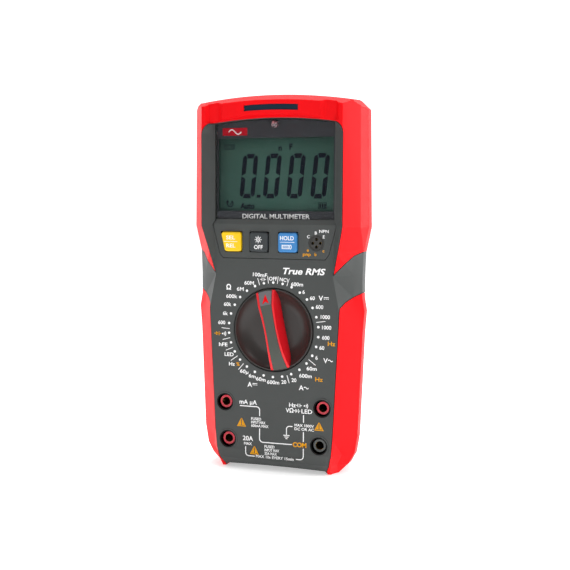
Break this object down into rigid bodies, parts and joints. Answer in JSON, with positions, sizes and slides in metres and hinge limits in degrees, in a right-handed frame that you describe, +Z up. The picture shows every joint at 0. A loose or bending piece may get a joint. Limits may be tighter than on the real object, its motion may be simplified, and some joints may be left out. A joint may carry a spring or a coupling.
{
  "type": "digital multimeter",
  "caption": "Handheld digital multimeter: two-shell case with soft bumpers, large display, keys, rotary dial, input sockets and a fold-out stand.",
  "frame": {"origin": "under the middle of the bottom corner bumpers, on the surface that the meter stands on", "axes": "+Z up towards the display end, -Y out of the front panel, +X to the right seen from the front"},
  "size_m": [0.0892, 0.05, 0.1832],
  "materials": {
    "case_grey": "fine-grained moulded ABS",
    "insert_grey": "fine-grained moulded ABS",
    "bumper_red": "satin soft-touch elastomer",
    "window_clear": "clear acrylic",
    "mask_print": "printed film",
    "alarm_smoke": "smoked clear plastic",
    "led_clear": "clear epoxy",
    "lcd": "liquid-crystal panel",
    "holder_white": "white moulded plastic",
    "light_guide": "milky acrylic",
    "silicone": "silicone rubber",
    "key_yellow": "moulded silicone",
    "key_dark": "moulded silicone",
    "key_blue": "moulded silicone",
    "socket_black": "black insulating plastic",
    "socket_red": "red insulating plastic",
    "socket_grey": "grey insulating plastic",
    "brass": "plated brass",
    "dial_dark": "semi-gloss moulded plastic",
    "dial_red": "semi-gloss moulded plastic",
    "dial_grey": "satin moulded plastic",
    "rotor_white": "acetal",
    "bronze": "phosphor bronze",
    "steel": "zinc-plated steel",
    "board_green": "solder-masked laminate",
    "ceramic": "ceramic tube with metal caps",
    "chip_black": "moulded epoxy",
    "disc_blue": "dipped epoxy",
    "cell_wrap": "plain wrapped cell",
    "copper": "copper sheet",
    "legend_white": "screen-printed ink",
    "legend_amber": "screen-printed ink",
    "lcd_ink": "energised display segments",
    "badge_red": "screen-printed ink",
    "pin_socket": "moulded plastic",
    "knob_tip": "satin moulded plastic"
  },
  "bodies": {
    "case": {"front_case": "case_grey", "rear_case": "case_grey", "front_bumper_top": "bumper_red", "front_bumper_left": "bumper_red", "front_bumper_right": "bumper_red", "rear_bumper_top": "bumper_red", "rear_bumper_left": "bumper_red", "rear_bumper_right": "bumper_red", "panel_insert": "insert_grey", "display_window": "window_clear", "window_mask": "mask_print", "alarm_window": "alarm_smoke", "status_led": "led_clear", "lcd_glass": "lcd", "lcd_holder": "holder_white", "backlight_guide": "light_guide", "zebra_strips": "silicone", "keypad_mat": "silicone", "transistor_socket": "pin_socket", "transistor_contacts": "brass", "detent_ring": "rotor_white", "socket_sleeves": "socket_black", "main_board": "board_green", "board_screws": "steel", "fuse_large": "ceramic", "fuse_small": "ceramic", "fuse_clips": "brass", "current_shunt": "copper", "main_chip": "chip_black", "support_chips": "chip_black", "crystal": "steel", "capacitors": "chip_black", "protection_discs": "disc_blue", "buzzer": "chip_black", "voltage_antenna": "copper", "torch_led": "led_clear", "torch_lens": "window_clear", "battery_cells": "cell_wrap", "battery_contacts": "steel", "battery_cover": "case_grey", "battery_cover_screws": "steel", "case_screws": "steel", "socket_contact_ma": "brass", "socket_ring_ma": "socket_red", "socket_contact_volt": "brass", "socket_ring_volt": "socket_red", "socket_contact_20a": "brass", "socket_ring_20a": "socket_red", "socket_contact_com": "brass", "socket_ring_com": "socket_grey"},
    "dial": {"dial_disc": "dial_dark", "dial_grip": "dial_red", "dial_inlay": "dial_grey", "dial_rotor": "rotor_white", "detent_balls": "steel", "rotor_contacts": "bronze"},
    "key_select": {"key_select": "key_yellow"},
    "key_backlight": {"key_backlight": "key_dark"},
    "key_hold": {"key_hold": "key_blue"},
    "stand": {"tilt_stand": "case_grey"}
  },
  "joints": [
    {"name": "dial_turn", "type": "hinge", "parent": "case", "child": "dial", "pos_m": [0, -0.0202, 0.07], "axis": [0, -1, 0], "continuous": true},
    {"name": "key_select_press", "type": "slide", "parent": "case", "child": "key_select", "axis": [0, 1, 0], "range_m": [0, 0.0009], "stiffness_N_per_m": 900, "springref_m": -0.001},
    {"name": "key_backlight_press", "type": "slide", "parent": "case", "child": "key_backlight", "axis": [0, 1, 0], "range_m": [0, 0.0009], "stiffness_N_per_m": 900, "springref_m": -0.001},
    {"name": "key_hold_press", "type": "slide", "parent": "case", "child": "key_hold", "axis": [0, 1, 0], "range_m": [0, 0.0009], "stiffness_N_per_m": 900, "springref_m": -0.001},
    {"name": "stand_swing", "type": "hinge", "parent": "case", "child": "stand", "pos_m": [0, 0.0228, 0.107], "axis": [1, 0, 0], "range_deg": [0, 62]}
  ]
}
